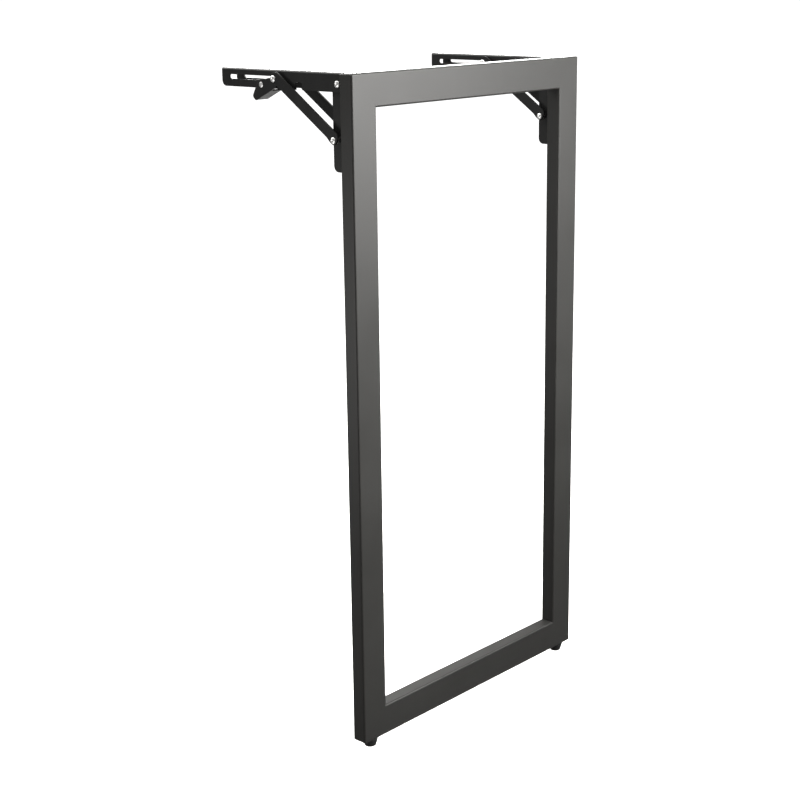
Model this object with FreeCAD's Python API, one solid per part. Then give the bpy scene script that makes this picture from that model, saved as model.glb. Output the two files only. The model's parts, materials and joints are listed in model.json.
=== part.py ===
import FreeCAD, Part
import math
import os

# Folding table leg: a welded tube frame with two folding, locking brackets.
# Millimetres. X across the frame, Y from the frame's front to the back, Z up.
# Origin: centre of the tabletop screw pattern, on the underside of the tabletop.

# Driving dimensions of the tube frame
frame_height = 740.0
frame_width = 380.0
tube_face = 36.0
tube_depth = 18.0
tube_wall = 1.5
tube_corner = 2.2

# Driving dimensions of the feet
foot_height = 10.0
foot_radius = 9.2
foot_taper = 2.8
foot_edge = 2.4
stud_radius = 4.0
stud_reach = 24.0
insert_radius = 5.6
insert_flange_radius = 7.0
insert_flange = 1.0
insert_length = 14.0

# Driving dimensions of the folding brackets
sheet = 1.8
lever_sheet = 1.6
pivot_setback = 9.0
pivot_drop = 12.0
channel_half = 9.4
channel_tail = 33.0
brace_foot_drop = 57.0
brace_foot_setback = 3.0
brace_half = 6.0
brace_bow = 3.0
brace_lobe = 4.2
pin_reach = 91.0
slot_drop = 9.5
fold_angle = 82.0
arm_tail = 12.0
screw_near = 38.0
screw_far = 140.0
tabletop_screw_radius = 2.75

# Driving dimensions of the release levers
lever_pivot_ahead = 22.0
lever_pivot_below = 7.0
lever_tip_ahead = 8.8
lever_tip_below = 17.0
lever_heel_ahead = 14.2
lever_heel_below = 12.8
lever_pad_width = 16.0
lever_pad_share = 0.27
lever_hook_rise = 0.6
lever_rim = 3.5
spring_coil_radius = 3.0
spring_wire_radius = 0.5
spring_turns = 3
spring_wire_sides = 8

# Driving dimensions of the rivets and screws
rivet_radius = 2.4
rivet_head_radius = 3.7
rivet_head = 1.5
collar_radius = 3.6
lever_rivet_radius = 2.0
lever_rivet_head_radius = 3.0
lever_rivet_head = 0.5
leg_screw_radius = 2.4
leg_screw_head_radius = 4.6
leg_screw_head = 2.8
leg_screw_length = 9.0
hex_radius = 1.7

# Clearances
fit_gap = 0.05
run_gap = 0.10
layer_gap = 0.20
side_gap = 0.30
passing_gap = 1.00
notch_gap = 1.40
hook_gap = 0.40
cut_over = 1.00
edge_tol = 0.01

# Derived frame positions
pivot_y = -(screw_near + screw_far) / 2.0
pivot_z = -pivot_drop
tube_back = pivot_y - pivot_setback
tube_front = tube_back - tube_depth
half_width = frame_width / 2.0
upright_x = half_width - tube_face / 2.0
frame_bottom = -frame_height

# Derived bracket layers, counted from the bracket's middle plane
channel_inner = channel_half - sheet
arm_inner = channel_half + side_gap
arm_half = arm_inner + sheet
lever_in = arm_half + layer_gap
lever_out = lever_in + lever_sheet
brace_in = lever_out + lever_rivet_head + side_gap
brace_out = brace_in + sheet

# Derived bracket outline
knuckle_radius = pivot_drop - sheet - passing_gap
flange_back = pivot_y + knuckle_radius
arm_low = pivot_z - pivot_setback + passing_gap
arm_front = pivot_y - pivot_setback + passing_gap
slot_z = -slot_drop
brace_foot_y = pivot_y + brace_foot_setback
brace_foot_z = pivot_z - brace_foot_drop
channel_low = brace_foot_z - channel_tail
pin_y = pivot_y + pin_reach

# Derived folded positions
fold = math.radians(fold_angle)
brace_run = pin_y - brace_foot_y
brace_rise = slot_z - brace_foot_z
brace_length = math.hypot(brace_run, brace_rise)
folded_foot_y = pivot_y + brace_foot_setback * math.cos(fold) + brace_foot_drop * math.sin(fold)
folded_foot_z = pivot_z + brace_foot_setback * math.sin(fold) - brace_foot_drop * math.cos(fold)
folded_rise = slot_z - folded_foot_z
folded_pin_y = folded_foot_y + math.sqrt(brace_length ** 2 - folded_rise ** 2)
slot_radius = rivet_radius
slot_pin_radius = slot_radius - run_gap
slot_start = pin_y - fit_gap
slot_stop = folded_pin_y + fit_gap
arm_end = slot_stop + slot_radius + arm_tail

# Derived lever points
lever_y = pin_y + lever_pivot_ahead
lever_z = slot_z - lever_pivot_below


def vec(x, y, z):
    return FreeCAD.Vector(x, y, z)


def block(x0, x1, y0, y1, z0, z1):
    return Part.makeBox(x1 - x0, y1 - y0, z1 - z0, vec(x0, y0, z0))


def rod_x(x0, x1, y, z, radius):
    return Part.makeCylinder(radius, x1 - x0, vec(x0, y, z), vec(1, 0, 0))


def rod_y(y0, y1, x, z, radius):
    return Part.makeCylinder(radius, y1 - y0, vec(x, y0, z), vec(0, 1, 0))


def rod_z(z0, z1, x, y, radius):
    return Part.makeCylinder(radius, z1 - z0, vec(x, y, z0), vec(0, 0, 1))


def rounded_wire(points):
    """Closed wire in the YZ plane from (y, z, corner radius) points."""
    count = len(points)
    starts = []
    stops = []
    arcs = []
    for index in range(count):
        y, z, radius = points[index]
        here = vec(0, y, z)
        before = vec(0, points[index - 1][0], points[index - 1][1])
        after = vec(0, points[(index + 1) % count][0], points[(index + 1) % count][1])
        if radius <= 0:
            starts.append(here)
            stops.append(here)
            arcs.append(None)
            continue
        back = (before - here).normalize()
        ahead = (after - here).normalize()
        half = back.getAngle(ahead) / 2.0
        reach = radius / math.tan(half)
        middle_way = (back + ahead).normalize()
        centre = here + middle_way * (radius / math.sin(half))
        starts.append(here + back * reach)
        stops.append(here + ahead * reach)
        arcs.append(centre - middle_way * radius)
    edges = []
    for index in range(count):
        if arcs[index] is not None:
            edges.append(Part.Arc(starts[index], arcs[index], stops[index]).toShape())
        head = starts[(index + 1) % count]
        if stops[index].distanceToPoint(head) > 1e-6:
            edges.append(Part.makeLine(stops[index], head))
    return Part.Wire(edges)


def plate_x(points, x0, x1):
    """Flat stamping: a rounded YZ outline between two X planes."""
    face = Part.Face(rounded_wire(points))
    face.translate(vec(x0, 0, 0))
    return face.extrude(vec(x1 - x0, 0, 0))


def turned_x(profile, y, z):
    """Turned piece on an X axis from (x, radius) points; a dome is ('dome', x, radius)."""
    edges = []
    last = vec(profile[0][0], profile[0][1], 0)
    first = last
    for item in profile[1:]:
        if item[0] == "dome":
            end = vec(item[1], item[2], 0)
            wide = max(last.y, end.y)
            tall = abs(end.x - last.x)
            ball = (wide * wide + tall * tall) / (2.0 * tall)
            tip_x = end.x if end.y < last.y else last.x
            rim_x = last.x if end.y < last.y else end.x
            way = 1.0 if tip_x > rim_x else -1.0
            half = math.asin(wide / ball) / 2.0
            centre_x = tip_x - way * ball
            middle = vec(centre_x + way * ball * math.cos(half), ball * math.sin(half), 0)
            edges.append(Part.Arc(last, middle, end).toShape())
        else:
            end = vec(item[0], item[1], 0)
            edges.append(Part.makeLine(last, end))
        last = end
    if last.distanceToPoint(first) > 1e-6:
        edges.append(Part.makeLine(last, first))
    face = Part.Face(Part.Wire(edges))
    solid = face.revolve(vec(0, 0, 0), vec(1, 0, 0), 360)
    solid.translate(vec(0, y, z))
    return solid


def channel(half, y0, y1, z0, z1, open_side):
    """Bent sheet channel running along Y or Z, open at the bottom or at the back."""
    outer = block(-half, half, y0, y1, z0, z1)
    inner_half = half - sheet
    bend = sheet * 1.35
    if open_side == "bottom":
        inner = block(-inner_half, inner_half, y0 - cut_over, y1 + cut_over, z0 - cut_over, z1 - sheet)
        rims = [e for e in outer.Edges if along(e, "y") and e.BoundBox.ZMin > z1 - edge_tol]
        roots = [e for e in inner.Edges if along(e, "y") and e.BoundBox.ZMin > z1 - sheet - edge_tol]
    else:
        inner = block(-inner_half, inner_half, y0 + sheet, y1 + cut_over, z0 - cut_over, z1 + cut_over)
        rims = [e for e in outer.Edges if along(e, "z") and e.BoundBox.YMax < y0 + edge_tol]
        roots = [e for e in inner.Edges if along(e, "z") and e.BoundBox.YMax < y0 + sheet + edge_tol]
    outer = outer.makeFillet(bend, rims)
    inner = inner.makeFillet(bend - sheet * 0.95, roots)
    return outer.cut(inner)


def along(edge, axis):
    """True for a straight edge that runs along the named axis."""
    size = edge.BoundBox
    spans = {"x": size.XLength, "y": size.YLength, "z": size.ZLength}
    return spans[axis] > 0.9 * edge.Length


def tube(length_axis, size_a, size_b, start, stop):
    """Rectangular tube with rounded long edges, centred on its axis."""
    if length_axis == "z":
        outer = block(-size_a / 2, size_a / 2, -size_b / 2, size_b / 2, start, stop)
    else:
        outer = block(start, stop, -size_b / 2, size_b / 2, -size_a / 2, size_a / 2)
    outer = outer.makeFillet(tube_corner, [e for e in outer.Edges if along(e, length_axis)])
    inner_a = size_a - 2 * tube_wall
    inner_b = size_b - 2 * tube_wall
    if length_axis == "z":
        inner = block(-inner_a / 2, inner_a / 2, -inner_b / 2, inner_b / 2, start, stop)
    else:
        inner = block(start, stop, -inner_b / 2, inner_b / 2, -inner_a / 2, inner_a / 2)
    inner_corner = tube_corner - tube_wall
    inner = inner.makeFillet(inner_corner, [e for e in inner.Edges if along(e, length_axis)])
    return outer.cut(inner)


def mitre(corners):
    """Prism in Y with the mitred XZ outline of one tube."""
    points = [vec(x, tube_front - cut_over, z) for x, z in corners]
    wire = Part.makePolygon(points + [points[0]])
    return Part.Face(wire).extrude(vec(0, tube_depth + 2, 0))


def frame_tubes():
    """Four mitred tubes of the welded leg frame."""
    middle_y = (tube_front + tube_back) / 2.0
    inner_x = half_width - tube_face
    post = tube("z", tube_face, tube_depth, frame_bottom, 0)
    post.translate(vec(upright_x, middle_y, 0))
    right_corners = [(half_width, 0), (half_width, frame_bottom)]
    right_corners += [(inner_x, frame_bottom + tube_face), (inner_x, -tube_face)]
    right = post.common(mitre(right_corners))
    bore = leg_screw_radius + fit_gap
    for drop in leg_screw_drops():
        right = right.cut(rod_y(tube_back - 2 * tube_wall, tube_back + cut_over, upright_x, -drop, bore))
    left = right.mirror(vec(0, 0, 0), vec(1, 0, 0))
    rail = tube("x", tube_face, tube_depth, -half_width, half_width)
    rail.translate(vec(0, middle_y, -tube_face / 2.0))
    top_corners = [(-half_width, 0), (half_width, 0), (inner_x, -tube_face), (-inner_x, -tube_face)]
    top = rail.common(mitre(top_corners))
    low = rail.copy()
    low.translate(vec(0, 0, frame_bottom + tube_face))
    low_corners = [(-half_width, frame_bottom), (half_width, frame_bottom)]
    low_corners += [(inner_x, frame_bottom + tube_face), (-inner_x, frame_bottom + tube_face)]
    low = low.common(mitre(low_corners))
    hole = insert_radius + fit_gap
    for x in (-upright_x, upright_x):
        low = low.cut(rod_z(frame_bottom - cut_over, frame_bottom + 2 * tube_wall, x, middle_y, hole))
    return {"left_upright": left, "right_upright": right, "top_rail": top, "bottom_rail": low}


def foot_pieces():
    """Levelling foot on the right: threaded insert, stud and moulded base."""
    middle_y = (tube_front + tube_back) / 2.0
    x = upright_x
    under = frame_bottom - insert_flange
    insert_top = frame_bottom + insert_length
    body = rod_z(under, insert_top, x, middle_y, insert_radius)
    rim = rod_z(under, frame_bottom, x, middle_y, insert_flange_radius)
    insert = body.fuse(rim).removeSplitter()
    thread = stud_radius + fit_gap
    insert = insert.cut(rod_z(under - cut_over, insert_top + cut_over, x, middle_y, thread))
    base_top = frame_bottom - run_gap
    base_low = frame_bottom - foot_height
    low_radius = foot_radius - foot_taper
    cone = Part.makeCone(low_radius, foot_radius, base_top - base_low, vec(x, middle_y, base_low))
    rims = [e for e in cone.Edges if e.BoundBox.ZLength < edge_tol]
    low_rim = [e for e in rims if e.BoundBox.ZMin < base_low + edge_tol]
    cone = cone.makeFillet(foot_edge, low_rim)
    seat = base_low + foot_height / 3.0
    base = cone.cut(rod_z(seat, base_top + cut_over, x, middle_y, thread))
    recess = insert_flange_radius + side_gap
    base = base.cut(rod_z(under - run_gap, base_top + cut_over, x, middle_y, recess))
    stud = rod_z(seat, base_top + stud_reach, x, middle_y, stud_radius)
    tip = [e for e in stud.Edges if e.BoundBox.ZMin > base_top + stud_reach - edge_tol]
    stud = stud.makeChamfer(stud_radius / 5.0, tip)
    return {"foot_insert": insert, "foot_stud": stud, "foot_base": base}


def leg_screw_drops():
    """Heights of the two screws that hold a leg channel, below the frame's top."""
    upper = pivot_drop + brace_foot_drop * 0.42
    lower = pivot_drop + brace_foot_drop + channel_tail * 0.58
    return [upper, lower]


def leg_channel():
    """Upright half of the bracket, screwed to the back of the tube."""
    top = pivot_z + knuckle_radius
    wide = channel_half + cut_over
    step = tube_back + sheet * 2
    body = channel(channel_half, tube_back, flange_back, channel_low, top, "back")
    side = [(tube_back - cut_over, top, 0), (tube_back - cut_over, channel_low, 0)]
    side.append((flange_back, channel_low, channel_tail * 0.2))
    side.append((flange_back, top, knuckle_radius * 0.98))
    body = body.common(plate_x(side, -wide, wide))
    relief = block(-wide, wide, tube_back - cut_over, step, pivot_z + knuckle_radius * 0.55, top + cut_over)
    body = body.cut(relief)
    bore = rivet_radius + fit_gap
    body = body.cut(rod_x(-wide, wide, pivot_y, pivot_z, bore))
    body = body.cut(rod_x(-wide, wide, brace_foot_y, brace_foot_z, bore))
    for drop in leg_screw_drops():
        hole = rod_y(tube_back - cut_over, step, 0, -drop, leg_screw_radius + fit_gap)
        body = body.cut(hole)
    return body


def arm():
    """Horizontal half of the bracket, screwed under the tabletop."""
    wide = arm_half + cut_over
    body = channel(arm_half, arm_front, arm_end, arm_low, 0, "bottom")
    side = [(arm_front, cut_over, 0), (arm_front, arm_low, (pivot_z - arm_low) * 0.96)]
    side += [(arm_end, arm_low, -arm_low * 0.32), (arm_end, cut_over, 0)]
    body = body.common(plate_x(side, -wide, wide))
    slot = block(-wide, wide, slot_start, slot_stop, slot_z - slot_radius, slot_z + slot_radius)
    for end in (slot_start, slot_stop):
        slot = slot.fuse(rod_x(-wide, wide, end, slot_z, slot_radius))
    body = body.cut(slot)
    notch_half = collar_radius + notch_gap
    notch_top = folded_foot_z + notch_half
    notch_near = folded_foot_y - notch_half
    notch_far = folded_foot_y + notch_half
    notch = [(notch_near, arm_low - cut_over, 0), (notch_far, arm_low - cut_over, 0)]
    notch += [(notch_far, notch_top, notch_half * 0.6), (notch_near, notch_top, notch_half * 0.6)]
    body = body.cut(plate_x(notch, -wide, wide))
    body = body.cut(rod_x(-wide, wide, pivot_y, pivot_z, rivet_radius + fit_gap))
    body = body.cut(rod_x(channel_half, wide, lever_y, lever_z, lever_rivet_radius + fit_gap))
    for reach in (screw_near, screw_far):
        body = body.cut(rod_z(-sheet - cut_over, cut_over, 0, pivot_y + reach, tabletop_screw_radius))
    return body


def brace(x0, x1):
    """Stamped diagonal bar, bowed towards the corner, from the leg channel to the slot pin."""
    way_y = brace_run / brace_length
    way_z = brace_rise / brace_length
    low = brace_bow - brace_half
    high = brace_bow + brace_half
    neck = brace_lobe * 0.9
    slope = brace_half
    lobe_round = brace_lobe * 0.85
    outline = [(-brace_lobe, -brace_lobe, lobe_round), (neck, -brace_lobe, lobe_round)]
    outline += [(neck + slope, low, slope), (brace_length - neck - slope, low, slope)]
    outline += [(brace_length - neck, -brace_lobe, lobe_round)]
    outline += [(brace_length + brace_lobe, -brace_lobe, lobe_round)]
    outline += [(brace_length + brace_lobe, high, brace_half), (-brace_lobe, high, brace_half)]
    placed = []
    for reach, across, radius in outline:
        y = brace_foot_y + reach * way_y - across * way_z
        z = brace_foot_z + reach * way_z + across * way_y
        placed.append((y, z, radius))
    bar = plate_x(placed, x0, x1)
    bar = bar.cut(rod_x(x0 - cut_over, x1 + cut_over, brace_foot_y, brace_foot_z, rivet_radius + fit_gap))
    return bar.cut(rod_x(x0 - cut_over, x1 + cut_over, pin_y, slot_z, rivet_radius + fit_gap))


def corner_rivet():
    """Hinge rivet through the arm and the leg channel."""
    seat = arm_half
    tip = seat + rivet_head
    profile = [(-tip, 0), ("dome", -seat, rivet_head_radius), (-seat, rivet_radius), (seat, rivet_radius)]
    profile += [(seat, rivet_head_radius), ("dome", tip, 0)]
    return turned_x(profile, pivot_y, pivot_z)


def brace_rivet():
    """Shouldered rivet that carries both braces on the leg channel."""
    seat = brace_out + run_gap
    tip = seat + rivet_head
    inside = channel_half
    outside = brace_in - run_gap
    profile = [(-tip, 0), ("dome", -seat, rivet_head_radius), (-seat, rivet_radius)]
    profile += [(-outside, rivet_radius), (-outside, collar_radius), (-inside, collar_radius)]
    profile += [(-inside, rivet_radius), (inside, rivet_radius), (inside, collar_radius)]
    profile += [(outside, collar_radius), (outside, rivet_radius), (seat, rivet_radius)]
    profile += [(seat, rivet_head_radius), ("dome", tip, 0)]
    return turned_x(profile, brace_foot_y, brace_foot_z)


def slot_rivet():
    """Headed end of the cross pin, riveted into a brace."""
    tip = brace_out + rivet_head
    profile = [(brace_in, 0), (brace_in, rivet_radius), (brace_out, rivet_radius)]
    profile += [(brace_out, rivet_head_radius), ("dome", tip, 0)]
    return turned_x(profile, pin_y, slot_z)


def slot_pin():
    """Cross pin that runs in the slots of the arm."""
    half = arm_half + layer_gap * 0.75
    return rod_x(-half, half, pin_y, slot_z, slot_pin_radius)


def lever_edge():
    """Front and tip points of the lever's lower edge."""
    front = (pin_y - lever_sheet, arm_low + lever_sheet)
    tip = (lever_y + lever_tip_ahead, lever_z - lever_tip_below)
    return front, tip


def release_lever():
    """Hooked stamping with a finger pad bent inwards under the arm."""
    front, tip = lever_edge()
    nose_y = pin_y + rivet_radius + hook_gap
    hook_z = slot_z - rivet_radius - hook_gap
    around = lever_rivet_head_radius + lever_rim
    outline = [(nose_y, slot_z + lever_hook_rise, lever_sheet / 2), (nose_y, hook_z, lever_sheet)]
    outline += [(front[0], hook_z - lever_sheet, lever_sheet / 2), (front[0], front[1], lever_sheet)]
    outline += [(tip[0], tip[1], lever_sheet)]
    outline += [(lever_y + lever_heel_ahead, lever_z - lever_heel_below, lever_rim)]
    outline += [(lever_y + around, lever_z + around / 6, lever_rim)]
    outline += [(lever_y + around / 2, lever_z + around * 0.75, lever_rim)]
    outline += [(nose_y + around, slot_z + lever_hook_rise, lever_rim)]
    plate = plate_x(outline, lever_in, lever_out)
    run = tip[0] - front[0]
    fall = tip[1] - front[1]
    slope = math.hypot(run, fall)
    way = (run / slope, fall / slope)
    near = lever_pad_share * slope
    far = slope - lever_sheet
    pad = []
    for reach, depth in ((near, 0), (far, 0), (far, lever_sheet), (near, lever_sheet)):
        y = front[0] + way[0] * reach - way[1] * depth
        z = front[1] + way[1] * reach + way[0] * depth
        pad.append((y, z, 0))
    flange = plate_x(pad, lever_out - lever_pad_width, lever_out)
    lever = plate.fuse(flange).removeSplitter()
    bore = lever_rivet_radius + fit_gap
    return lever.cut(rod_x(lever_in - cut_over, lever_out + cut_over, lever_y, lever_z, bore))


def spring_span():
    """Pitch of the spring's turns and the X place of its inner end."""
    pitch = spring_wire_radius * 2.2
    inner_end = arm_inner - side_gap - spring_wire_radius - pitch * spring_turns
    return pitch, inner_end


def lever_rivet():
    """Low-headed rivet that carries the lever and the spring on the arm."""
    cap = spring_span()[1] - spring_wire_radius - side_gap
    cap_end = cap - spring_wire_radius * 2
    cap_radius = lever_rivet_radius + spring_wire_radius * 1.8
    head = lever_out + fit_gap
    tip = lever_out + lever_rivet_head
    profile = [(cap_end, 0), (cap_end, cap_radius), (cap, cap_radius)]
    profile += [(cap, lever_rivet_radius), (head, lever_rivet_radius), (head, lever_rivet_head_radius)]
    profile += [("dome", tip, 0)]
    return turned_x(profile, lever_y, lever_z)


def lever_spring():
    """Torsion spring coiled round the lever's rivet."""
    pitch, inner_end = spring_span()
    path = Part.makeHelix(pitch, pitch * spring_turns, spring_coil_radius)
    corners = []
    for index in range(spring_wire_sides + 1):
        turn = 2 * math.pi * index / spring_wire_sides
        out = spring_coil_radius + spring_wire_radius * math.cos(turn)
        corners.append(vec(out, 0, spring_wire_radius * math.sin(turn)))
    coil = Part.Wire(path.Edges).makePipeShell([Part.makePolygon(corners)], True, True)
    coil = coil.Solids[0] if coil.Solids else Part.Solid(coil)
    coil.rotate(vec(0, 0, 0), vec(0, 1, 0), 90)
    coil.translate(vec(inner_end, lever_y, lever_z))
    return coil


def leg_screw(drop):
    """Button-head screw through the leg channel into the tube."""
    head_low = tube_back + sheet
    shank = rod_y(head_low - leg_screw_length, head_low, 0, -drop, leg_screw_radius)
    head = rod_y(head_low, head_low + leg_screw_head, 0, -drop, leg_screw_head_radius)
    far = head_low + leg_screw_head
    crown = [e for e in head.Edges if e.BoundBox.YMin > far - edge_tol]
    head = head.makeFillet(leg_screw_head * 0.6, crown)
    corners = []
    for index in range(7):
        turn = math.radians(60 * index)
        corners.append(vec(hex_radius * math.cos(turn), far + 0.1, -drop + hex_radius * math.sin(turn)))
    socket = Part.Face(Part.makePolygon(corners)).extrude(vec(0, -leg_screw_head * 0.6, 0))
    return head.fuse(shank).removeSplitter().cut(socket)


def bracket_pieces():
    """Pieces of the right bracket, on its own middle plane, lever side at +X."""
    pieces = {"leg_channel": leg_channel(), "arm": arm()}
    pieces["outer_brace"] = brace(brace_in, brace_out)
    pieces["inner_brace"] = brace(-brace_out, -brace_in)
    pieces["corner_rivet"] = corner_rivet()
    pieces["brace_rivet"] = brace_rivet()
    pieces["slot_pin"] = slot_pin()
    pieces["outer_slot_rivet"] = slot_rivet()
    pieces["inner_slot_rivet"] = slot_rivet().mirror(vec(0, 0, 0), vec(1, 0, 0))
    pieces["release_lever"] = release_lever()
    pieces["lever_rivet"] = lever_rivet()
    pieces["lever_spring"] = lever_spring()
    upper, lower = leg_screw_drops()
    pieces["upper_leg_screw"] = leg_screw(upper)
    pieces["lower_leg_screw"] = leg_screw(lower)
    return pieces


def main():
    os.makedirs("parts", exist_ok=True)
    nodes = frame_tubes()
    for name, shape in bracket_pieces().items():
        right = shape.copy()
        right.translate(vec(upright_x, 0, 0))
        nodes["right_" + name] = right
        nodes["left_" + name] = right.mirror(vec(0, 0, 0), vec(1, 0, 0))
    for name, shape in foot_pieces().items():
        nodes["right_" + name] = shape
        nodes["left_" + name] = shape.mirror(vec(0, 0, 0), vec(1, 0, 0))
    for name, shape in nodes.items():
        solid = shape.Solids[0] if len(shape.Solids) == 1 else shape
        solid.exportStep("parts/" + name + ".step")


main()
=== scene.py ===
"""Folding table leg: a welded tube frame with two locking brackets and two levelling feet."""

import json
import logging
import math
from dataclasses import dataclass, field
from enum import Enum
from typing import Dict, List, Sequence, Tuple

import bmesh
import bpy
from mathutils import Matrix, Vector


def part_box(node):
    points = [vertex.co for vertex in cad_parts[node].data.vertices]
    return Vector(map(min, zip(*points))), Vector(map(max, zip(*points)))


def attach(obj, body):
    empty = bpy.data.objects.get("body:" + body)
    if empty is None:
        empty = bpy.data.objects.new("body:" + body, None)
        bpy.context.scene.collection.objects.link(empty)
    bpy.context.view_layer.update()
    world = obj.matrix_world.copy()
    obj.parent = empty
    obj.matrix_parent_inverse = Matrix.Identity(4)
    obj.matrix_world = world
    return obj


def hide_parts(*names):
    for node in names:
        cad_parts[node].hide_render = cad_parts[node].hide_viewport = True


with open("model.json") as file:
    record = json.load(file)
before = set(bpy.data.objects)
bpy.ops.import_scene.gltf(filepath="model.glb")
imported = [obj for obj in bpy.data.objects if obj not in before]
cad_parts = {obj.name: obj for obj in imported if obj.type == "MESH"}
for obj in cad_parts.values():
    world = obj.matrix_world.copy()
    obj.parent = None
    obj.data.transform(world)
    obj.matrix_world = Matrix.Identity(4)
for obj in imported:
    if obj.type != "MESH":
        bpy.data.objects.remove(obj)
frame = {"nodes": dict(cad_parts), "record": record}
LOG = logging.getLogger("folding_leg")
MM = 0.001
WELD = 1e-6
BEVEL_SAMPLES = 4
Point = Tuple[float, float, float]
Pair = Tuple[float, float]
Corners = Tuple[Vector, Vector]


class Side(Enum):
    """The two ends of the leg frame, with the way that each one faces outwards."""

    LEFT = -1.0
    RIGHT = 1.0

    @property
    def label(self) -> str:
        """Prefix of this side's node and body names."""
        return self.name.lower()


class Body(Enum):
    """Moving bodies that new pieces ride on."""

    ARMS = "tabletop_arms"
    LEG = "leg"
    BRACES = "braces"
    FOOT = "foot"

    def on(self, side: Side) -> str:
        """Name of this body on one side."""
        return f"{side.label}_{self.value}" if self in (Body.BRACES, Body.FOOT) else self.value


class Slot(Enum):
    """Material slots of the record."""

    FRAME_COAT = "frame_coat"
    BRACKET_COAT = "bracket_coat"
    ZINC_STEEL = "zinc_steel"
    SPRING_STEEL = "spring_steel"
    FOOT_PLASTIC = "foot_plastic"


class Mark(Enum):
    """Marks of handling that a finish's gloss can follow."""

    CLOUD = "Cloud"
    STREAK = "Streak"


# Shader helpers

def add_noise(nodes: bpy.types.Nodes, detail: float) -> bpy.types.Node:
    """Adds a noise texture.

    Args:
        nodes: Where it goes.
        detail: Octaves of finer noise.

    Returns:
        The node.
    """
    node = nodes.new("ShaderNodeTexNoise")
    node.inputs["Detail"].default_value = detail
    return node


def add_range(nodes: bpy.types.Nodes, span: Pair, result: Pair = (0.0, 1.0)) -> bpy.types.Node:
    """Adds a node that maps one span of values to another.

    Args:
        nodes: Where it goes.
        span: First and last value that come in.
        result: First and last value that go out.

    Returns:
        The node.
    """
    node = nodes.new("ShaderNodeMapRange")
    for label, value in zip(("From Min", "From Max", "To Min", "To Max"), (*span, *result)):
        node.inputs[label].default_value = value
    return node


def add_math(nodes: bpy.types.Nodes, operation: str, second: float) -> bpy.types.Node:
    """Adds a math node.

    Args:
        nodes: Where it goes.
        operation: What it works out.
        second: Its second value.

    Returns:
        The node.
    """
    node = nodes.new("ShaderNodeMath")
    node.operation = operation
    node.inputs[1].default_value = second
    return node


def add_colours(nodes: bpy.types.Nodes, **colours: Point) -> bpy.types.Node:
    """Adds a node that mixes two colours.

    Args:
        nodes: Where it goes.
        colours: The colours that are fixed, as A and B.

    Returns:
        The node.
    """
    node = nodes.new("ShaderNodeMix")
    node.data_type = "RGBA"
    for label, colour in colours.items():
        node.inputs[label].default_value = (*colour, 1.0)
    return node


def place_group(nodes: bpy.types.Nodes, tree: bpy.types.NodeTree, values: Dict[str, float]) -> bpy.types.Node:
    """Places a group in a material with its own values.

    Args:
        nodes: The material's nodes.
        tree: The group to place.
        values: Input values by socket name.

    Returns:
        The group node.
    """
    node = nodes.new("ShaderNodeGroup")
    node.node_tree = tree
    for label, value in values.items():
        node.inputs[label].default_value = value
    return node


# Shared surface effects

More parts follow.
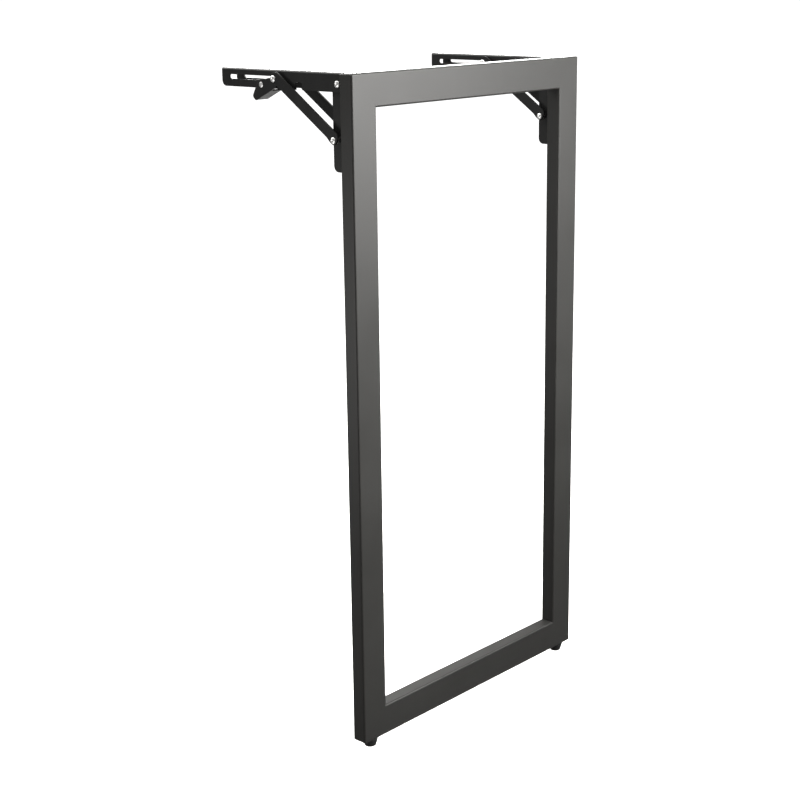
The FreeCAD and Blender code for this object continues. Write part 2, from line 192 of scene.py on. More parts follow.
@dataclass
class EffectGroups:
    """Shader node groups that more than one finish uses, each built once.

    Scales count the waves of a noise in a metre, and the streaks' lean is in radians. Each pair
    is the span of values over which a mask rises from none to full.
    """

    peel_scale: float = 420.0
    peel_detail: float = 2.0
    grain_scale: float = 2600.0
    grain_detail: float = 3.0
    grain_height: float = 0.35
    # Edge mask: worn paler edges, and a painted highlight along them.
    rub_width: float = 0.0006
    rub_breakup: float = 160.0
    rub_detail: float = 4.0
    rub_facing: Pair = (0.995, 0.80)
    rub_patches: Pair = (0.42, 0.68)
    cloud_scale: float = 14.0
    cloud_detail: float = 5.0
    streak_scale: float = 60.0
    streak_detail: float = 3.0
    streak_stretch: Point = (1.0, 1.0, 0.12)
    streak_lean: Point = (0.3, 0.2, 0.0)
    scuff_streaks: Pair = (0.66, 0.80)
    coat_skin: bpy.types.NodeTree = field(init=False)
    edge_rub: bpy.types.NodeTree = field(init=False)
    handling: bpy.types.NodeTree = field(init=False)

    def __post_init__(self) -> None:
        """Builds the groups."""
        self.coat_skin = self._coat_skin()
        self.edge_rub = self._edge_rub()
        self.handling = self._handling()

    @staticmethod
    def _new(name: str, inputs: Dict[str, float], outputs: Sequence[str]) -> bpy.types.NodeTree:
        """Makes an empty group with its sockets.

        Args:
            name: Name of the group.
            inputs: Default values by socket name.
            outputs: Socket names of the values it puts out.

        Returns:
            The node tree, with its input and output nodes named "in" and "out".
        """
        tree = bpy.data.node_groups.new(name, "ShaderNodeTree")
        for label, value in inputs.items():
            socket = tree.interface.new_socket(label, in_out="INPUT", socket_type="NodeSocketFloat")
            socket.default_value = value
        for label in outputs:
            tree.interface.new_socket(label, in_out="OUTPUT", socket_type="NodeSocketFloat")
        tree.nodes.new("NodeGroupInput").name = "in"
        tree.nodes.new("NodeGroupOutput").name = "out"
        return tree

    def _coat_skin(self) -> bpy.types.NodeTree:
        """Orange peel and fine grain of a sprayed coat.

        Returns:
            The group, which puts out a height and a grain mask.
        """
        inputs = {"Peel Scale": self.peel_scale, "Grain Scale": self.grain_scale}
        tree = self._new("coat_skin", inputs, ["Height", "Grain"])
        nodes, links = tree.nodes, tree.links
        place = nodes.new("ShaderNodeTexCoord")
        peel = add_noise(nodes, self.peel_detail)
        grain = add_noise(nodes, self.grain_detail)
        height = add_math(nodes, "MULTIPLY_ADD", self.grain_height)
        for texture, label in ((peel, "Peel Scale"), (grain, "Grain Scale")):
            links.new(place.outputs["Object"], texture.inputs["Vector"])
            links.new(nodes["in"].outputs[label], texture.inputs["Scale"])
        links.new(grain.outputs["Fac"], height.inputs[0])
        links.new(peel.outputs["Fac"], height.inputs[2])
        links.new(height.outputs[0], nodes["out"].inputs["Height"])
        links.new(grain.outputs["Fac"], nodes["out"].inputs["Grain"])
        return tree

    def _edge_rub(self) -> bpy.types.NodeTree:
        """Sharp edges: rubbed wear, and a painted edge highlight.

        Returns:
            The group, which puts out a mask of wear and painted highlight that is high on sharp edges, broken
            up by noise.
        """
        inputs = {"Width": self.rub_width, "Breakup": self.rub_breakup}
        tree = self._new("edge_rub", inputs, ["Mask"])
        nodes, links = tree.nodes, tree.links
        place = nodes.new("ShaderNodeTexCoord")
        geometry = nodes.new("ShaderNodeNewGeometry")
        rounded = nodes.new("ShaderNodeBevel")
        rounded.samples = BEVEL_SAMPLES
        facing = nodes.new("ShaderNodeVectorMath")
        facing.operation = "DOT_PRODUCT"
        edge = add_range(nodes, self.rub_facing)
        noise = add_noise(nodes, self.rub_detail)
        patchy = add_range(nodes, self.rub_patches)
        mask = nodes.new("ShaderNodeMath")
        mask.operation = "MULTIPLY"
        links.new(nodes["in"].outputs["Width"], rounded.inputs["Radius"])
        links.new(rounded.outputs["Normal"], facing.inputs[0])
        links.new(geometry.outputs["True Normal"], facing.inputs[1])
        links.new(facing.outputs["Value"], edge.inputs["Value"])
        links.new(place.outputs["Object"], noise.inputs["Vector"])
        links.new(nodes["in"].outputs["Breakup"], noise.inputs["Scale"])
        links.new(noise.outputs["Fac"], patchy.inputs["Value"])
        links.new(edge.outputs["Result"], mask.inputs[0])
        links.new(patchy.outputs["Result"], mask.inputs[1])
        links.new(mask.outputs[0], nodes["out"].inputs["Mask"])
        return tree

    def _handling(self) -> bpy.types.NodeTree:
        """Marks of handling.

        Returns:
            The group, which puts out a soft cloud, fine streaks and a mask of small scuffs.
        """
        inputs = {"Cloud Scale": self.cloud_scale, "Streak Scale": self.streak_scale}
        tree = self._new("handling", inputs, ["Cloud", "Streak", "Scuff"])
        nodes, links = tree.nodes, tree.links
        place = nodes.new("ShaderNodeTexCoord")
        cloud = add_noise(nodes, self.cloud_detail)
        stretch = nodes.new("ShaderNodeMapping")
        stretch.inputs["Scale"].default_value = self.streak_stretch
        stretch.inputs["Rotation"].default_value = self.streak_lean
        streak = add_noise(nodes, self.streak_detail)
        scuff = add_range(nodes, self.scuff_streaks)
        links.new(place.outputs["Object"], cloud.inputs["Vector"])
        links.new(place.outputs["Object"], stretch.inputs["Vector"])
        links.new(stretch.outputs["Vector"], streak.inputs["Vector"])
        links.new(nodes["in"].outputs["Cloud Scale"], cloud.inputs["Scale"])
        links.new(nodes["in"].outputs["Streak Scale"], streak.inputs["Scale"])
        links.new(streak.outputs["Fac"], scuff.inputs["Value"])
        links.new(cloud.outputs["Fac"], nodes["out"].inputs["Cloud"])
        links.new(streak.outputs["Fac"], nodes["out"].inputs["Streak"])
        links.new(scuff.outputs["Result"], nodes["out"].inputs["Scuff"])
        return tree


# Finishes

@dataclass(frozen=True)
class Finish:
    """One surface finish, made into a procedural material.

    The surface wanders between the dark and the light colour, and between the two roughness
    values. Sharp edges turn towards the rub colour, as wear and as a painted highlight. An edge of
    zero is for pieces whose edges are round already: they show scuffs alone, with no painted highlight.
    """

    slot: Slot
    name: str
    dark: Point
    light: Point
    rub: Point
    rub_share: float
    rough: Pair
    metallic: float = 0.0
    specular: float = 0.5
    bump: float = 0.12
    bump_depth: float = 0.00006
    peel: float = 420.0
    grain: float = 2600.0
    grain_tone: float = 0.45
    edge: float = 0.0006
    gloss_mark: Mark = Mark.STREAK
    gloss_span: Pair = (0.3, 0.9)

    def build(self, groups: EffectGroups) -> bpy.types.Material:
        """Makes the material.

        Args:
            groups: The shared effects.

        Returns:
            The new material.
        """
        material = bpy.data.materials.new(self.name)
        material.use_nodes = True
        tree = material.node_tree
        shader = tree.nodes["Principled BSDF"]
        shader.inputs["Metallic"].default_value = self.metallic
        shader.inputs["Specular IOR Level"].default_value = self.specular
        scales = {"Peel Scale": self.peel, "Grain Scale": self.grain}
        skin = place_group(tree.nodes, groups.coat_skin, scales)
        marks = place_group(tree.nodes, groups.handling, {})
        # With an edge width, the rub mask is wear and a painted highlight on sharp edges; without one, it is
        # scuffs alone.
        if self.edge:
            rub = place_group(tree.nodes, groups.edge_rub, {"Width": self.edge}).outputs["Mask"]
        else:
            rub = marks.outputs["Scuff"]
        colour = self._colour(tree, skin.outputs["Grain"], marks.outputs["Cloud"], rub)
        tree.links.new(colour, shader.inputs["Base Color"])
        gloss = add_range(tree.nodes, self.gloss_span, self.rough)
        tree.links.new(marks.outputs[self.gloss_mark.value], gloss.inputs["Value"])
        tree.links.new(gloss.outputs["Result"], shader.inputs["Roughness"])
        tree.links.new(self._relief(tree, skin.outputs["Height"]), shader.inputs["Normal"])
        return material

    def _colour(self, tree: bpy.types.NodeTree, grain: bpy.types.NodeSocket, cloud: bpy.types.NodeSocket,
                rub: bpy.types.NodeSocket) -> bpy.types.NodeSocket:
        """Colour of the coat, paler where it is rubbed and where an edge highlight is painted.

        Args:
            tree: The material's nodes.
            grain: Grain of the coat.
            cloud: Soft cloud over it.
            rub: Mask of the rubbed places and of the painted edge highlights.

        Returns:
            The colour.
        """
        wander = add_math(tree.nodes, "MULTIPLY_ADD", self.grain_tone)
        tone = add_colours(tree.nodes, A=self.dark, B=self.light)
        # Pale rub colour mixed in: wear, and on sharp edges a painted highlight.
        share = add_math(tree.nodes, "MULTIPLY", self.rub_share)
        worn_and_highlit = add_colours(tree.nodes, B=self.rub)
        tree.links.new(grain, wander.inputs[0])
        tree.links.new(cloud, wander.inputs[2])
        tree.links.new(wander.outputs[0], tone.inputs["Factor"])
        tree.links.new(rub, share.inputs[0])
        tree.links.new(share.outputs[0], worn_and_highlit.inputs["Factor"])
        tree.links.new(tone.outputs["Result"], worn_and_highlit.inputs["A"])
        return worn_and_highlit.outputs["Result"]

    def _relief(self, tree: bpy.types.NodeTree, height: bpy.types.NodeSocket) -> bpy.types.NodeSocket:
        """Bump of the coat's skin, over edges that are rounded by the finish's edge width.

        Args:
            tree: The material's nodes.
            height: Height of the skin.

        Returns:
            The normal.
        """
        bump = tree.nodes.new("ShaderNodeBump")
        bump.inputs["Strength"].default_value = self.bump
        bump.inputs["Distance"].default_value = self.bump_depth
        tree.links.new(height, bump.inputs["Height"])
        if self.edge:
            rounded = tree.nodes.new("ShaderNodeBevel")
            rounded.samples = BEVEL_SAMPLES
            rounded.inputs["Radius"].default_value = self.edge
            tree.links.new(rounded.outputs["Normal"], bump.inputs["Normal"])
        return bump.outputs["Normal"]


# Rub colours go on sharp edges as wear and a painted edge highlight; the frame coat, with no edge width,
# takes its rub colour in scuffs alone.
FRAME_COAT = Finish(
    Slot.FRAME_COAT, "frame_powder_coat", dark=(0.0172, 0.0169, 0.0160), light=(0.0242, 0.0239, 0.0226),
    rub=(0.05, 0.05, 0.046), rub_share=0.06, rough=(0.41, 0.50), specular=0.30, edge=0.0,
    gloss_mark=Mark.CLOUD)
BRACKET_COAT = Finish(
    Slot.BRACKET_COAT, "bracket_black_coat", dark=(0.008, 0.008, 0.008), light=(0.016, 0.016, 0.016),
    rub=(0.08, 0.08, 0.08), rub_share=0.30, rough=(0.36, 0.50), specular=0.25, peel=600.0, edge=0.00035)
ZINC_STEEL = Finish(
    Slot.ZINC_STEEL, "zinc_rivet_steel", dark=(0.74, 0.74, 0.73), light=(0.92, 0.92, 0.91),
    rub=(0.95, 0.95, 0.95), rub_share=0.6, rough=(0.30, 0.42), metallic=0.85, bump=0.10, peel=1500.0,
    edge=0.0002)
SPRING_STEEL = Finish(
    Slot.SPRING_STEEL, "spring_wire_steel", dark=(0.30, 0.30, 0.31), light=(0.45, 0.45, 0.46),
    rub=(0.60, 0.60, 0.60), rub_share=0.4, rough=(0.25, 0.40), metallic=1.0, bump=0.10, peel=2500.0,
    edge=0.0001)
FOOT_PLASTIC = Finish(
    Slot.FOOT_PLASTIC, "foot_black_plastic", dark=(0.010, 0.010, 0.010), light=(0.020, 0.020, 0.020),
    rub=(0.06, 0.06, 0.06), rub_share=0.5, rough=(0.42, 0.60), bump=0.25, peel=900.0, grain=4200.0,
    edge=0.0005)


class Paintbox:
    """Materials of the object, made once and looked up by the record's slot."""

    def __init__(self) -> None:
        """Builds every finish."""
        groups = EffectGroups()
        finishes = (FRAME_COAT, BRACKET_COAT, ZINC_STEEL, SPRING_STEEL, FOOT_PLASTIC)
        self.by_slot = {finish.slot: finish.build(groups) for finish in finishes}
        self.node_slots = {row["node"]: Slot(row["material_slot"]) for row in frame["record"]["subparts"]}

    def dress_node(self, name: str) -> None:
        """Gives a CAD node the finish of its slot in the record.

        Args:
            name: The node's name.
        """
        materials = frame["nodes"][name].data.materials
        materials.clear()
        materials.append(self.by_slot[self.node_slots[name]])
        LOG.info("dressed %s", name)

    def dress_stand_in(self, piece: bpy.types.Object, name: str, body: str) -> None:
        """Puts a new piece in the place of a CAD node, with that node's finish.

        Args:
            piece: The new piece.
            name: The node's name.
            body: Body that the piece rides on.
        """
        slot = self.node_slots[name]
        piece.data.materials.append(self.by_slot[slot])
        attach(piece, body)
        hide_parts(name)
        LOG.info("built %s", piece.name)


# Modelling helpers

def piece_from(mesh: bmesh.types.BMesh, name: str, subdivide: int = 0) -> bpy.types.Object:
    """Turns a finished bmesh into a smooth shaded object at the origin.

    Args:
        mesh: The bmesh, in metres, which is freed.
        name: Name of the piece.
        subdivide: Levels of subdivision surface.

    Returns:
        The new object.
    """
    bmesh.ops.remove_doubles(mesh, verts=mesh.verts, dist=WELD)
    bmesh.ops.recalc_face_normals(mesh, faces=mesh.faces)
    for face in mesh.faces:
        face.smooth = True
    data = bpy.data.meshes.new(name)
    mesh.to_mesh(data)
    mesh.free()
    piece = bpy.data.objects.new(name, data)
    bpy.context.scene.collection.objects.link(piece)
    if subdivide:
        smooth = piece.modifiers.new("smooth", "SUBSURF")
        smooth.levels = smooth.render_levels = subdivide
    return piece


def add_chain(mesh: bmesh.types.BMesh, points: Sequence[Vector]) -> List[bmesh.types.BMEdge]:
    """Adds an open chain of edges.

    Args:
        mesh: Where the chain goes.
        points: Its vertices, in order.

    Returns:
        The edges.
    """
    verts = [mesh.verts.new(point) for point in points]
    return [mesh.edges.new(pair) for pair in zip(verts, verts[1:])]


def turn_about_x(mesh: bmesh.types.BMesh, profile: Sequence[Pair], centre: Vector, steps: int = 32) -> None:
    """Spins an (x, radius) profile, in millimetres from the centre, about an X axis.

    Args:
        mesh: Where the turned form goes.
        profile: Points of the profile, in order.
        centre: Point on the axis, in metres.
        steps: Facets round the axis.
    """
    edges = add_chain(mesh, [centre + Vector((x, 0.0, radius)) * MM for x, radius in profile])
    verts = {vert for edge in edges for vert in edge.verts}
    bmesh.ops.spin(mesh, geom=[*verts, *edges], cent=centre, axis=(1.0, 0.0, 0.0),
                   angle=math.tau, steps=steps, use_merge=True)


def node_box(name: str) -> Corners:
    """Lowest and highest corners of a CAD node, in metres."""
    low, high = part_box(name)
    return Vector(low), Vector(high)


# The object

@dataclass
class LegFrame:
    """Rectangle of four mitred tubes, welded and ground round at its outer corners.

    Sizes in millimetres, the crease in degrees.
    """

    corner: float = 3.5
    cuts: int = 5
    cut_over: float = 0.01
    crease: float = 50.0
    tubes: Tuple[str, ...] = ("left_upright", "right_upright", "top_rail", "bottom_rail")

    def outer_box(self) -> Corners:
        """Measures the whole rectangle.

        Returns:
            Its lowest and highest corners, in metres.
        """
        boxes = [node_box(name) for name in self.tubes]
        low = Vector([min(box[0][axis] for box in boxes) for axis in range(3)])
        high = Vector([max(box[1][axis] for box in boxes) for axis in range(3)])
        return low, high

    def grind_corner(self, mesh: bmesh.types.BMesh, across: float, along: float, box: Corners) -> None:
        """Rounds one outer corner of the rectangle with a few flat cuts that follow its arc.

        Args:
            mesh: A tube.
            across: -1 for the left corners, 1 for the right ones.
            along: -1 for the bottom corners, 1 for the top ones.
            box: Corners of the whole rectangle.
        """
        radius = self.corner * MM
        low, high = box
        tip = Vector((high.x if across > 0 else low.x, 0.0, high.z if along > 0 else low.z))
        centre = tip - Vector((across, 0.0, along)) * radius
        for step in range(1, self.cuts + 1):
            turn = math.radians(90.0) * step / (self.cuts + 1)
            way = Vector((across * math.cos(turn), 0.0, along * math.sin(turn)))
            geometry = [*mesh.verts, *mesh.edges, *mesh.faces]
            bmesh.ops.bisect_plane(mesh, geom=geometry, dist=self.cut_over * MM,
                                   plane_co=centre + way * radius, plane_no=way, clear_outer=True)
            rim = [edge for edge in mesh.edges if edge.is_boundary]
            if rim:
                bmesh.ops.holes_fill(mesh, edges=rim, sides=0)

    def build_tube(self, name: str, box: Corners) -> bpy.types.Object:
        """One tube with its share of the ground corners.

        Args:
            name: Node of the tube.
            box: Corners of the whole rectangle.

        Returns:
            The piece.
        """
        mesh = bmesh.new()
        mesh.from_mesh(frame["nodes"][name].data)
        bmesh.ops.remove_doubles(mesh, verts=mesh.verts, dist=WELD)
        for across in (-1.0, 1.0):
            for along in (-1.0, 1.0):
                self.grind_corner(mesh, across, along, box)
        piece = piece_from(mesh, f"{name}_ground")
        piece.data.set_sharp_from_angle(angle=math.radians(self.crease))
        flats = piece.modifiers.new("flats", "WEIGHTED_NORMAL")
        flats.keep_sharp = True
        return piece

    def dress(self, paint: Paintbox) -> None:
        """Grinds and coats the tubes.

        Args:
            paint: The finishes.
        """
        box = self.outer_box()
        for name in self.tubes:
            paint.dress_stand_in(self.build_tube(name, box), name, Body.LEG.value)


@dataclass(frozen=True)
class RivetHead:
    """Peened rivet head with a dimple. Sizes in millimetres.

    The rim and the shoulder are at shares of the rise. The shoulder and the crown have shares of
    the head's radius, and the dimple's lip and floor have shares of the dimple's.
    """

    radius: float = 3.7
    rise: float = 1.5
    rim_rise: float = 0.30
    shoulder_rise: float = 0.75
    shoulder: float = 0.84
    crown: float = 0.56
    dimple: float = 1.1
    dimple_depth: float = 0.4
    lip_dip: float = 0.1
    lip: float = 1.25
    floor: float = 0.85

    def profile(self, seat: float) -> List[Pair]:
        """Half section of the head, from its rim on the seat to its middle.

        Args:
            seat: Distance of the seat from the bracket's middle plane.

        Returns:
            Points of (x, radius).
        """
        top = seat + self.rise
        middle = top - self.dimple_depth
        return [
            (seat, self.radius),
            (seat + self.rise * self.rim_rise, self.radius),
            (seat + self.rise * self.shoulder_rise, self.radius * self.shoulder),
            (top, self.radius * self.crown),
            (top - self.lip_dip, self.dimple * self.lip),
            (middle, self.dimple * self.floor),
            (middle, 0.0),
        ]


@dataclass
class FoldingBracket:
    """One locking bracket: channels, braces, rivets, lever and spring. Sizes in millimetres.

    The halves and the brace's two faces are distances from the bracket's middle plane. The coil
    stops short of its last full turn, where its second leg leaves it.
    """

    side: Side
    head: RivetHead = RivetHead()
    shank: float = 2.4
    collar: float = 3.6
    arm_half: float = 11.5
    channel_half: float = 9.4
    brace_in: float = 14.1
    brace_out: float = 15.9
    play: float = 0.1
    coil: float = 3.0
    wire: float = 0.5
    turns: int = 3
    short_turn: float = 0.25
    turn_steps: int = 24
    wire_sides: int = 10
    leg_down: float = 9.0
    leg_back: float = 8.0
    stampings: Tuple[str, ...] = ("leg_channel", "arm", "outer_brace", "inner_brace", "release_lever")
    bright: Tuple[str, ...] = ("slot_pin", "lever_rivet", "upper_leg_screw", "lower_leg_screw")
    pin_ends: Tuple[str, ...] = ("outer_slot_rivet", "inner_slot_rivet")

    def node(self, name: str) -> str:
        """Full node name on this side."""
        return f"{self.side.label}_{name}"

    def axis_of(self, name: str) -> Vector:
        """Middle of a node's box, on the bracket's middle plane.

        Args:
            name: Node name without its side.

        Returns:
            The point, in metres.
        """
        low, high = node_box(self.node(name))
        arm_low, arm_high = node_box(self.node("arm"))
        middle = (low + high) / 2
        middle.x = (arm_low.x + arm_high.x) / 2
        return middle

    def build_rivet(self, name: str, shank: Sequence[Pair], seat: float) -> bpy.types.Object:
        """Rivet with a dimpled head at each end.

        Args:
            name: Node name without its side.
            shank: Outer half of the shank's profile, from the middle plane to the seat.
            seat: Distance of each head's seat from the middle plane.

        Returns:
            The piece.
        """
        half = [*shank, *self.head.profile(seat)]
        mesh = bmesh.new()
        turn_about_x(mesh, [(-x, radius) for x, radius in reversed(half)] + half[1:], self.axis_of(name))
        return piece_from(mesh, self.node(name) + "_turned", subdivide=1)

    def build_corner_rivet(self) -> bpy.types.Object:
        """Rivet on which the arm turns: a plain shank across the arm."""
        shank = [(0.0, self.shank), (self.arm_half, self.shank)]
        return self.build_rivet("corner_rivet", shank, self.arm_half)

    def build_brace_rivet(self) -> bpy.types.Object:
        """Rivet at the braces' feet, with a collar between the leg channel and each brace.

        Returns:
            The piece.
        """
        collar_end = self.brace_in - self.play
        seat = self.brace_out + self.play
        shank = [
            (0.0, self.shank),
            (self.channel_half, self.shank),
            (self.channel_half, self.collar),
            (collar_end, self.collar),
            (collar_end, self.shank),
            (seat, self.shank),
        ]
        return self.build_rivet("brace_rivet", shank, seat)

    def build_pin_end(self, name: str) -> bpy.types.Object:
        """Headed end of the slot pin, on one brace.

        Args:
            name: Node name without its side.

        Returns:
            The piece.
        """
        way = self.side.value if name.startswith("outer") else -self.side.value
        profile = [(self.brace_in, 0.0), (self.brace_in, self.shank), (self.brace_out, self.shank)]
        profile += self.head.profile(self.brace_out)
        mesh = bmesh.new()
        turn_about_x(mesh, [(way * x, radius) for x, radius in profile], self.axis_of(name))
        return piece_from(mesh, self.node(name) + "_turned", subdivide=1)

    def build_spring(self) -> bpy.types.Object:
        """Torsion spring on the lever's rivet: a coil with a leg on the pad and one along the arm.

        Returns:
            The piece.
        """
        low, high = node_box(self.node("lever_spring"))
        centre = (low + high) / 2
        outward = self.side.value
        inner_x = low.x if outward > 0 else high.x
        start = Vector((inner_x + outward * self.wire * MM, centre.y, centre.z))
        pitch = (high.x - low.x - 2 * self.wire * MM) / self.turns
        mesh = bmesh.new()
        place = Matrix.Translation(start + Vector((0.0, self.coil * MM, 0.0)))
        ring = bmesh.ops.create_circle(mesh, segments=self.wire_sides, radius=self.wire * MM, matrix=place)
        first = list(mesh.edges)
        wound = self.turns - self.short_turn
        steps = self.turns * self.turn_steps
        spun = bmesh.ops.spin(mesh, geom=[*ring["verts"], *first], cent=start, axis=(1.0, 0.0, 0.0),
                              angle=math.tau * wound, steps=steps,
                              dvec=Vector((outward * pitch * wound / steps, 0.0, 0.0)))
        last = [item for item in spun["geom_last"] if isinstance(item, bmesh.types.BMEdge)]
        self._leg(mesh, first, Vector((0.0, 0.0, -self.leg_down * MM)))
        self._leg(mesh, last, Vector((0.0, -self.leg_back * MM, 0.0)))
        bmesh.ops.holes_fill(mesh, edges=mesh.edges, sides=self.wire_sides)
        return piece_from(mesh, self.node("lever_spring") + "_wire")

    @staticmethod
    def _leg(mesh: bmesh.types.BMesh, ring: Sequence[bmesh.types.BMEdge], way: Vector) -> None:
        """Draws a straight leg out of one end of the coil.

        Args:
            mesh: The spring.
            ring: Edges of the end.
            way: Direction and length of the leg.
        """
        drawn = bmesh.ops.extrude_edge_only(mesh, edges=list(ring))
        tip = [item for item in drawn["geom"] if isinstance(item, bmesh.types.BMVert)]
        bmesh.ops.translate(mesh, verts=tip, vec=way)

    def dress(self, paint: Paintbox) -> None:
        """Builds the turned pieces and the spring, and coats the rest.

        Args:
            paint: The finishes.
        """
        for name in self.stampings + self.bright:
            paint.dress_node(self.node(name))
        paint.dress_stand_in(self.build_corner_rivet(), self.node("corner_rivet"), Body.ARMS.value)
        paint.dress_stand_in(self.build_brace_rivet(), self.node("brace_rivet"), Body.LEG.value)
        for name in self.pin_ends:
            paint.dress_stand_in(self.build_pin_end(name), self.node(name), Body.BRACES.on(self.side))
        paint.dress_stand_in(self.build_spring(), self.node("lever_spring"), Body.ARMS.value)


@dataclass
class LevellingFoot:
    """Moulded base on a threaded stud. Sizes in millimetres.

    The crest is the flat top of a thread, between two shares of the pitch.
    """

    side: Side
    pitch: float = 1.25
    thread_depth: float = 0.55
    crest_share: Pair = (0.45, 0.55)
    steps: int = 28

    def node(self, name: str) -> str:
        """Full node name on this side."""
        return f"{self.side.label}_{name}"

    def build_stud(self) -> bpy.types.Object:
        """Stud with a turned thread, inside the CAD stud's cylinder.

        Returns:
            The piece.
        """
        low, high = node_box(self.node("foot_stud"))
        centre = (low + high) / 2
        crest = (high.x - low.x) / 2
        root = crest - self.thread_depth * MM
        pitch = self.pitch * MM
        turns = int((high.z - low.z) / pitch) - 1
        base = Vector((centre.x, centre.y, low.z))
        crest_from, crest_to = self.crest_share
        tooth = [(root, 0.0), (crest, pitch * crest_from), (crest, pitch * crest_to), (root, pitch)]
        mesh = bmesh.new()
        edges = add_chain(mesh, [base + Vector((radius, 0.0, rise)) for radius, rise in tooth])
        verts = {vert for edge in edges for vert in edge.verts}
        bmesh.ops.spin(mesh, geom=[*verts, *edges], cent=base, axis=(0.0, 0.0, 1.0), angle=math.tau * turns,
                       steps=turns * self.steps, dvec=Vector((0.0, 0.0, pitch / self.steps)))
        bmesh.ops.create_cone(mesh, cap_ends=True, segments=self.steps, radius1=root, radius2=root,
                              depth=high.z - low.z, matrix=Matrix.Translation(centre))
        return piece_from(mesh, self.node("foot_stud") + "_thread")

    def dress(self, paint: Paintbox) -> None:
        """Builds the stud and finishes the base and the insert.

        Args:
            paint: The finishes.
        """
        for name in ("foot_base", "foot_insert"):
            paint.dress_node(self.node(name))
        paint.dress_stand_in(self.build_stud(), self.node("foot_stud"), Body.FOOT.on(self.side))


# Studio

@dataclass(frozen=True)
class Panel:
    """Rectangular soft light. Places and sizes in metres, power in watts.

    The beam is in degrees, and a grid in front of the panel makes it narrow.
    """

    name: str
    place: Point
    target: Point
    size: Pair
    power: float
    beam: float = 180.0

    def build(self, colour: Point) -> None:
        """Hangs the panel, facing its target and out of the camera's sight.

        Args:
            colour: Colour of its light.
        """
        data = bpy.data.lights.new(self.name, "AREA")
        data.shape = "RECTANGLE"
        data.size, data.size_y = self.size
        data.energy = self.power
        data.color = colour
        data.spread = math.radians(self.beam)
        light = bpy.data.objects.new(self.name, data)
        light.location = self.place
        light.visible_camera = False
        facing = Vector(self.target) - Vector(self.place)
        light.rotation_euler = facing.to_track_quat("-Z", "Y").to_euler()
        bpy.context.scene.collection.objects.link(light)


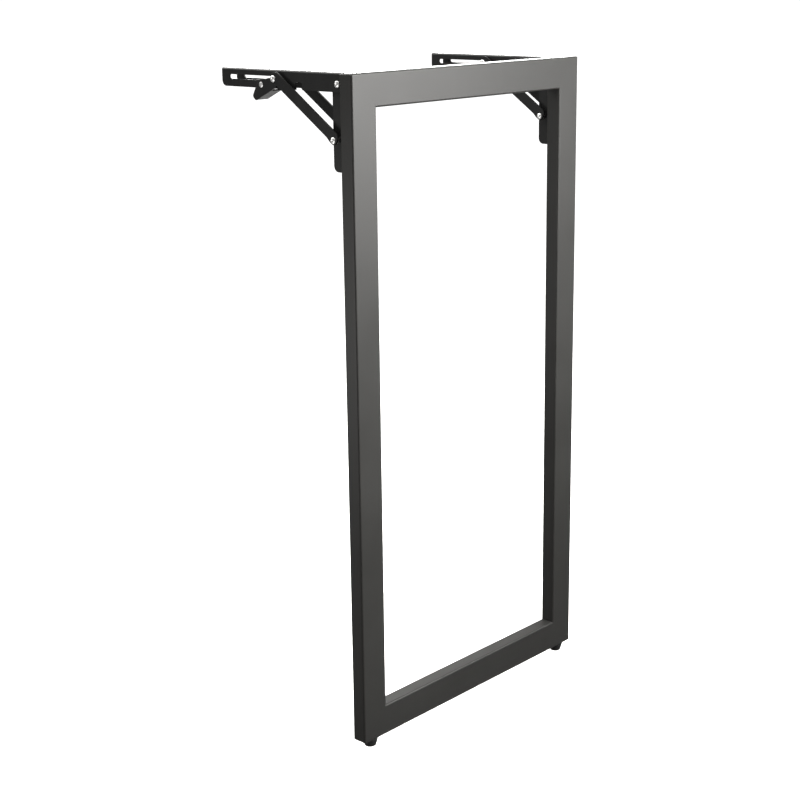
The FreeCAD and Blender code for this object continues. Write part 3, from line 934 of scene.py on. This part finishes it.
@dataclass
class Studio:
    """Pale floor, soft lights and the camera. Positions in metres, angles in degrees.

    The camera sees a white floor and white surroundings. The object is lit by a dimmer share of
    both, so that the panels shade it. The floor is a little below the feet, which can reach down.
    """

    floor_half: float = 30.0
    floor_z: float = -0.7585
    floor_seen: float = 0.92
    floor_bounce: float = 0.05
    floor_rough: float = 0.9
    floor_specular: float = 0.1
    floor_strength: float = 3.9
    floor_spread: float = 70.0
    surround_seen: float = 1.05
    surround_dim: float = 0.17
    warmth: Point = (1.0, 0.992, 0.974)
    camera_place: Point = (-1.3320, -1.2410, 0.0992)
    azimuth: float = -47.405
    elevation: float = 14.592
    roll: float = -0.663
    sensor_mm: float = 36.0
    lens_mm: float = 70.731
    shift: Pair = (-0.0125, -0.025)
    panels: Tuple[Panel, ...] = (
        Panel("top_panel", (0.0, -0.05, 0.50), target=(0.0, -0.05, 0.0), size=(0.9, 0.9), power=6.5),
        Panel("front_panel", (0.50, -1.15, 0.11), target=(-0.20, -0.116, -0.25), size=(0.75, 0.75),
              power=11.8, beam=80.0),
        Panel("left_panel", (-0.85, 0.18, -0.38), target=(-0.19, -0.10, -0.32), size=(0.4, 0.4), power=2.7),
        Panel("bounce_board", (1.0, 0.8, -0.745), target=(1.0, 0.8, 0.0), size=(0.9, 0.9), power=3.6),
        Panel("rear_panel", (-0.20, 1.50, 1.10), target=(0.0, 0.0, -0.35), size=(2.0, 1.0), power=48.0),
        Panel("right_panel", (1.60, -0.15, -0.05), target=(0.19, -0.05, -0.35), size=(1.0, 1.3), power=13.0),
        Panel("back_panel", (1.3, 1.2, 0.34), target=(0.0, -0.03, 0.0), size=(1.8, 0.6), power=4.0,
              beam=36.0),
    )

    def build(self) -> None:
        """Makes the whole studio."""
        self._floor_light(self._floor())
        self._world()
        for panel in self.panels:
            panel.build(self.warmth)
        self._camera()
        bpy.context.scene.view_settings.view_transform = "Standard"

    def _floor(self) -> bpy.types.Object:
        """Plain pale floor under the feet.

        Returns:
            The floor.
        """
        mesh = bmesh.new()
        bmesh.ops.create_grid(mesh, x_segments=1, y_segments=1, size=self.floor_half,
                              matrix=Matrix.Translation((0.0, 0.0, self.floor_z)))
        floor = piece_from(mesh, "studio_floor")
        material = bpy.data.materials.new("studio_floor_white")
        material.use_nodes = True
        nodes, links = material.node_tree.nodes, material.node_tree.links
        shader = nodes["Principled BSDF"]
        shader.inputs["Roughness"].default_value = self.floor_rough
        shader.inputs["Specular IOR Level"].default_value = self.floor_specular
        path = nodes.new("ShaderNodeLightPath")
        pale = add_colours(nodes, A=(self.floor_bounce,) * 3, B=(self.floor_seen,) * 3)
        links.new(path.outputs["Is Camera Ray"], pale.inputs["Factor"])
        links.new(pale.outputs["Result"], shader.inputs["Base Color"])
        floor.data.materials.append(material)
        return floor

    def _floor_light(self, floor: bpy.types.Object) -> None:
        """Wide soft light from above that brightens the floor alone.

        Args:
            floor: The floor.
        """
        data = bpy.data.lights.new("floor_light", "SUN")
        data.energy = self.floor_strength
        data.angle = math.radians(self.floor_spread)
        light = bpy.data.objects.new("floor_light", data)
        bpy.context.scene.collection.objects.link(light)
        lit = bpy.data.collections.new("lit_floor")
        lit.objects.link(floor)
        light.light_linking.receiver_collection = lit

    def _world(self) -> None:
        """White surroundings that the camera sees, with a dimmer light on the object."""
        world = bpy.data.worlds.new("studio_surround")
        bpy.context.scene.world = world
        world.use_nodes = True
        nodes, links = world.node_tree.nodes, world.node_tree.links
        background = nodes["Background"]
        background.inputs["Color"].default_value = (*self.warmth, 1.0)
        path = nodes.new("ShaderNodeLightPath")
        level = add_range(nodes, (0.0, 1.0), (self.surround_dim, self.surround_seen))
        links.new(path.outputs["Is Camera Ray"], level.inputs["Value"])
        links.new(level.outputs["Result"], background.inputs["Strength"])

    def _camera(self) -> None:
        """Camera at the photograph's viewing angle."""
        across, up, turn = (math.radians(angle) for angle in (self.azimuth, self.elevation, self.roll))
        back = Vector((math.sin(across) * math.cos(up), -math.cos(across) * math.cos(up), math.sin(up)))
        level = Vector((math.cos(across), math.sin(across), 0.0))
        upright = back.cross(level)
        right = level * math.cos(turn) + upright * math.sin(turn)
        over = upright * math.cos(turn) - level * math.sin(turn)
        data = bpy.data.cameras.new("photo_camera")
        data.sensor_width = self.sensor_mm
        data.lens = self.lens_mm
        data.shift_x, data.shift_y = self.shift
        camera = bpy.data.objects.new("photo_camera", data)
        facing = Matrix((right, over, back)).transposed().to_4x4()
        camera.matrix_world = Matrix.Translation(self.camera_place) @ facing
        bpy.context.scene.collection.objects.link(camera)
        bpy.context.scene.camera = camera


def main() -> None:
    """Builds and dresses the object in order, then the studio."""
    logging.basicConfig(level=logging.INFO, format="%(message)s")
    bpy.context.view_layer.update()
    paint = Paintbox()
    LegFrame().dress(paint)
    for side in Side:
        FoldingBracket(side).dress(paint)
        LevellingFoot(side).dress(paint)
    Studio().build()
    bpy.context.view_layer.update()


if __name__ == "__main__":
    main()
